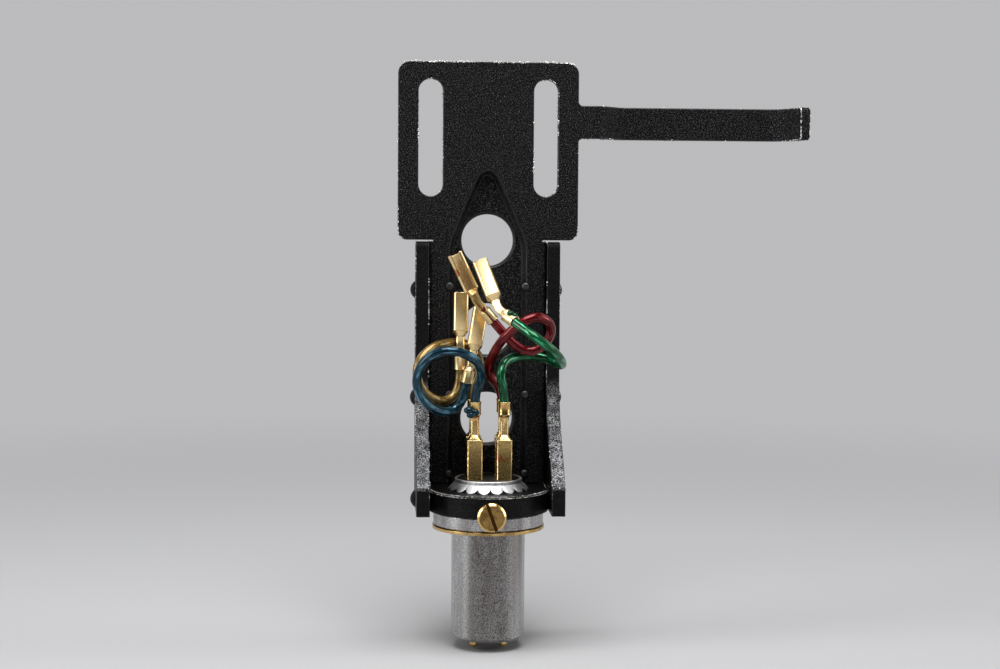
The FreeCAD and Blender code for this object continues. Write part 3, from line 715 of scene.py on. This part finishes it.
# Clips: a sheet folded into a socket, a trough-shaped neck and a crimped sleeve
CLIP_SHEET = 0.17
SOCKET_LENGTH, TAPER_LENGTH, NECK_LENGTH, SLEEVE_LENGTH = 4.25, 0.55, 2.1, 1.5
CONTACT_SOCKET, LOOSE_SOCKET, SOCKET_CORNER, SOCKET_SEAM = 1.74, 1.6, 0.22, 0.36
NECK_WIDTH, NECK_WALL = 0.93, 0.34
SLEEVE_DIA, SLEEVE_SEAM = 1.32, 0.16
CORE_TOP = 5.45
CONTACT_SPACING = 3.2
CONTACT_PLACES = {"green": (1, -1), "red": (1, 1), "blue": (-1, -1), "gold": (-1, 1)}
CORNER_STEPS = 4


def socket_section(width, depth, corner, seam):
    """Points round a folded socket from one lip of its seam to the other, seam at +Y."""
    w, d = width / 2, depth / 2
    points = [(seam / 2, d), ((w - corner + seam / 2) / 2, d)]
    for cx, cy, start in ((w - corner, d - corner, 90), (w - corner, corner - d, 0),
                          (corner - w, corner - d, -90), (corner - w, d - corner, -180)):
        for i in range(CORNER_STEPS + 1):
            a = math.radians(start - 90 * i / CORNER_STEPS)
            points.append((cx + corner * math.cos(a), cy + corner * math.sin(a)))
    return points + [((corner - w - seam / 2) / 2, d), (-seam / 2, d)]


def trough_section(width, wall, corner, count):
    """The same number of points along an open trough: up one wall, across and down."""
    w = width / 2
    floor = -wall / 2 - 0.1
    line = [(w, floor + wall), (w, floor + corner), (w - corner, floor),
            (corner - w, floor), (-w, floor + corner), (-w, floor + wall)]
    return spread(line, count)


def round_section(radius, seam, count):
    """Points round a crimped sleeve from one ear to the other, ears meeting at +Y."""
    gap = seam / 2 / radius
    return [(radius * math.sin(gap + (2 * math.pi - 2 * gap) * i / (count - 1)),
             radius * math.cos(gap + (2 * math.pi - 2 * gap) * i / (count - 1))) for i in range(count)]


def spread(line, count):
    """A number of points at even distances along a line."""
    lengths = [math.dist(a, b) for a, b in zip(line, line[1:])]
    total, points = sum(lengths), []
    for i in range(count):
        left, k = total * i / (count - 1), 0
        while k < len(lengths) - 1 and left > lengths[k]:
            left -= lengths[k]
            k += 1
        share = min(left / lengths[k], 1.0)
        points.append(tuple(a + (b - a) * share for a, b in zip(line[k], line[k + 1])))
    return points


def morph(first, second, share):
    return [tuple(a + (b - a) * share for a, b in zip(p, q)) for p, q in zip(first, second)]


def clip_sections(socket_width, seam):
    """(distance from the mouth, section) pairs from the socket's mouth to the sleeve's end."""
    width = socket_width - CLIP_SHEET
    depth = LOOSE_SOCKET - CLIP_SHEET
    socket = socket_section(width, depth, SOCKET_CORNER, seam)
    count = len(socket)
    mouth = socket_section(width + 0.06, depth + 0.06, SOCKET_CORNER, seam + 0.1)
    foot = socket_section(width, depth, SOCKET_CORNER, seam + 0.3)
    trough = trough_section(NECK_WIDTH - CLIP_SHEET, NECK_WALL, 0.12, count)
    sleeve = round_section((SLEEVE_DIA - CLIP_SHEET) / 2, SLEEVE_SEAM, count)
    open_sleeve = round_section((SLEEVE_DIA - CLIP_SHEET) / 2 + 0.04, SLEEVE_SEAM + 0.08, count)
    top = SOCKET_LENGTH + TAPER_LENGTH
    neck_end = top + NECK_LENGTH
    end = neck_end + SLEEVE_LENGTH
    return [
        (0.0, mouth), (0.14, socket), (1.4, socket), (2.8, socket), (SOCKET_LENGTH - 0.1, socket),
        (SOCKET_LENGTH, foot), (SOCKET_LENGTH + 0.12, morph(foot, trough, 0.3)),
        (top - 0.15, morph(foot, trough, 0.75)), (top, trough), (top + 0.3, trough),
        (top + 0.55, trough), (top + 0.8, trough), (top + 1.05, trough), (top + 1.3, trough),
        (top + 1.55, trough), (neck_end - 0.3, trough), (neck_end - 0.1, morph(trough, sleeve, 0.35)),
        (neck_end + 0.05, morph(trough, sleeve, 0.85)), (neck_end + 0.12, open_sleeve),
        (neck_end + 0.3, sleeve), (neck_end + 0.75, sleeve), (end - 0.25, sleeve),
        (end - 0.08, open_sleeve), (end, open_sleeve),
    ]


def clip_frame(distance, heading):
    """The middle, across and away directions of a clip at a distance from its mouth."""
    knee = SOCKET_LENGTH + TAPER_LENGTH + NECK_LENGTH / 2
    soft = 0.5  # half the length of the bend
    share = min(max((distance - knee + soft) / (2 * soft), 0.0), 1.0)
    straight = Vector((0, 0, 1))
    turn = straight.rotation_difference(heading)
    bend = Matrix.Identity(3).to_quaternion().slerp(turn, share).to_matrix()
    if distance <= knee - soft:
        middle = straight * distance
    elif distance >= knee + soft:
        middle = straight * knee + heading * (distance - knee)
    else:
        a, b, c = straight * (knee - soft), straight * knee, straight * knee + heading * soft
        middle = a.lerp(b, share).lerp(b.lerp(c, share), share)
    return middle, bend


def clip_piece(name, socket_width, seam, heading, turn, place, material):
    """A clip from its mouth, set in the row frame by a rotation and a place."""
    corners, sections = [], clip_sections(socket_width, seam)
    for distance, section in sections:
        middle, bend = clip_frame(distance, heading)
        corners += [place + turn @ (middle + bend @ Vector((x, y, 0))) for x, y in section]
    faces = grid_faces(len(sections), len(sections[0][1]))
    piece = new_piece(name, corners, faces, material, EDGE_GOLD)
    wall = piece.modifiers.new("sheet", "SOLIDIFY")
    wall.thickness = CLIP_SHEET * MM
    wall.offset = 0.0
    wall.use_even_offset = True
    smooth_and_soften(piece, 0.04, 1)
    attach(piece, "root")
    return piece


def contact_clip(name):
    x, y = CONTACT_PLACES[name]
    half = CONTACT_SPACING / 2
    piece = clip_piece("pin_clip_" + name, CONTACT_SOCKET, SOCKET_SEAM, Vector((0, 0, 1)),
                       Matrix.Identity(3), Vector((x * half, y * half, CORE_TOP)), GOLD)
    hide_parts("contact_clip_" + name)


def loose_clip(name):
    """The clip on a lead's far end, its sleeve round the lead and its socket aimed away."""
    before, end = (Vector(p) for p in ROUTES[name][-2:])
    along = -Vector(SOCKET_AIMS[name]).normalized()
    seam = Vector((0, SEAM_SIDES[name], 0))
    seam = (seam - along * seam.dot(along)).normalized()
    turn = Matrix((seam.cross(along), seam, along)).transposed()
    heading = turn.transposed() @ (before - end).normalized()
    knee = Vector((0, 0, SOCKET_LENGTH + TAPER_LENGTH + NECK_LENGTH / 2))
    local_end = knee + heading * (NECK_LENGTH / 2 + SLEEVE_LENGTH - LEAD_INSET)
    piece = clip_piece("loose_clip_" + name, LOOSE_SOCKET, SEAM_WIDTHS[name], heading, turn,
                       end - turn @ local_end, PALE_GOLD)
    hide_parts("cartridge_clip_" + name)
    return piece


def lead_curve(name):
    """One lead's cover as a smooth line through its route."""
    curve = bpy.data.curves.new(name + "_lead", "CURVE")
    curve.dimensions = "3D"
    curve.bevel_depth = LEAD_DIA / 2 * MM
    curve.bevel_resolution = 8
    curve.use_fill_caps = True
    spline = curve.splines.new("NURBS")
    points = ROUTES[name]
    spline.points.add(len(points) - 1)
    for point, place in zip(spline.points, points):
        point.co = (*(c * MM for c in place), 1.0)
    spline.order_u = 3
    spline.use_endpoint_u = True
    spline.resolution_u = 16
    curve.materials.append(COVERS[name])
    piece = bpy.data.objects.new(name + "_lead", curve)
    bpy.context.collection.objects.link(piece)
    clip = loose_clip(name)
    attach(piece, "root")
    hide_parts("lead_" + name)


for lead in ROUTES:
    contact_clip(lead)
    lead_curve(lead)


def bulge(name, lead, lumps):
    """Insulation squeezed out beside a sleeve, as a few lumps pressed into each other."""
    corners, faces = [], []
    rings, around = 8, 14
    for (x, y, z), (a, b, c) in lumps:
        first = len(corners)
        for i in range(rings + 1):
            up = math.pi * i / rings
            for j in range(around):
                turn = 2 * math.pi * j / around
                corners.append((x + a * math.sin(up) * math.cos(turn),
                                y + b * math.sin(up) * math.sin(turn), z + c * math.cos(up)))
        faces += [tuple(first + n for n in face) for face in grid_faces(rings + 1, around, closed=True)]
    piece = new_piece(name, corners, faces, COVERS[lead])
    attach(piece, "root")
    smooth_and_soften(piece, 0)


# Each lump's middle, and its half widths
bulge("blue_pinch", "blue", [((-2.25, -2.35, 13.0), (0.6, 0.45, 0.4)),
                             ((-2.05, -2.45, 12.5), (0.5, 0.42, 0.36)),
                             ((-1.55, -2.4, 12.75), (0.42, 0.3, 0.36))])
bulge("green_pinch", "green", [((1.85, -6.2, 23.65), (0.42, 0.42, 0.32)),
                               ((2.3, -6.35, 23.4), (0.36, 0.36, 0.34))])


FLOOR_GREY = (0.5, 0.5, 0.51, 1.0)


def pale_floor():
    """Pale grey that stays even far from the object, and keeps the shadow near it."""
    material, tree, shader = blank("pale_floor")
    shader.inputs["Base Color"].default_value = FLOOR_GREY
    shader.inputs["Roughness"].default_value = 0.9
    glow = node(tree, "ShaderNodeEmission")
    glow.inputs["Color"].default_value = FLOOR_GREY
    distance = node(tree, "ShaderNodeVectorMath", operation="LENGTH")
    join(tree, object_coordinates(tree), distance.inputs[0])
    away = step(tree, distance.outputs["Value"], 0.03, 0.24)
    path = node(tree, "ShaderNodeLightPath")
    seen = math_node(tree, "MAXIMUM", path.outputs["Is Camera Ray"], path.outputs["Is Glossy Ray"])
    seen = math_node(tree, "MAXIMUM", seen, path.outputs["Is Transmission Ray"])
    mixed = node(tree, "ShaderNodeMixShader")
    join(tree, math_node(tree, "MULTIPLY", away, seen), mixed.inputs["Fac"])
    join(tree, shader.outputs["BSDF"], mixed.inputs[1])
    join(tree, glow.outputs["Emission"], mixed.inputs[2])
    join(tree, mixed.outputs["Shader"], tree.nodes["Material Output"].inputs["Surface"])
    return material


def sweep():
    """A pale floor that curves up into a backdrop all round."""
    middle, flat, bend, height = 300.0, 950.0, 250.0, 1600.0
    around, turns, floor = 96, 16, FLOOR / MM
    line = [(middle, floor), (flat, floor)]
    for i in range(1, turns + 1):
        a = math.pi / 2 * i / turns
        line.append((flat + bend * math.sin(a), floor + bend * (1 - math.cos(a))))
    line.append((flat + bend, floor + height))
    turned = [2 * math.pi * i / around for i in range(around)]
    corners = [(r * math.cos(a), r * math.sin(a), z) for r, z in line for a in turned]
    faces = [tuple(range(around))] + grid_faces(len(line), around, closed=True)
    piece = new_piece("sweep", corners, faces, pale_floor())
    piece.data.polygons.foreach_set("use_smooth", [True] * len(piece.data.polygons))


def dark_card():
    """A dark card behind the camera, which keeps the metal's front faces deep in tone."""
    aside, forward, top = 0.3, -0.24, 0.17
    corners = [(-aside, forward, FLOOR), (aside, forward, FLOOR),
               (aside, forward, top), (-aside, forward, top)]
    mesh = bpy.data.meshes.new("dark_card")
    mesh.from_pydata(corners, [], [(0, 1, 2, 3)])
    material, tree, shader = blank("dark_card")
    shader.inputs["Base Color"].default_value = (0.02, 0.02, 0.02, 1.0)
    shader.inputs["Roughness"].default_value = 0.9
    mesh.materials.append(material)
    piece = bpy.data.objects.new("dark_card", mesh)
    bpy.context.collection.objects.link(piece)
    piece.visible_camera = False


def lamp(name, place, aim, width, height, power):
    light = bpy.data.lights.new(name, "AREA")
    light.shape = "RECTANGLE"
    light.size, light.size_y, light.energy = width, height, power
    holder = bpy.data.objects.new(name, light)
    holder.location = place
    holder.rotation_euler = (Vector(aim) - Vector(place)).to_track_quat("-Z", "Y").to_euler()
    bpy.context.collection.objects.link(holder)


def light_and_camera():
    lamp("top", (0.0, -0.1, 0.32), (0.0, -0.02, 0.02), 0.24, 0.26, 1.5)
    lamp("left", (-0.3, -0.08, 0.1), (0.0, 0.0, 0.02), 0.1, 0.25, 0.5)
    lamp("right", (0.32, -0.02, 0.1), (0.0, 0.0, 0.02), 0.08, 0.25, 0.3)
    world = bpy.data.worlds.new("studio")
    bpy.context.scene.world = world
    world.use_nodes = True
    world.node_tree.nodes["Background"].inputs["Color"].default_value = (0.8, 0.82, 0.85, 1.0)
    world.node_tree.nodes["Background"].inputs["Strength"].default_value = 0.1
    camera = bpy.data.cameras.new("camera")
    camera.lens, camera.sensor_width, camera.shift_y = LENS, SENSOR, CAMERA_SHIFT
    camera.clip_start, camera.clip_end = 0.01, 10.0
    holder = bpy.data.objects.new("camera", camera)
    holder.location = CAMERA_AT
    holder.rotation_euler = [math.radians(a) for a in CAMERA_TURN]
    bpy.context.collection.objects.link(holder)
    bpy.context.scene.camera = holder
    bpy.context.scene.view_settings.view_transform = "Standard"


sweep()
dark_card()
light_and_camera()
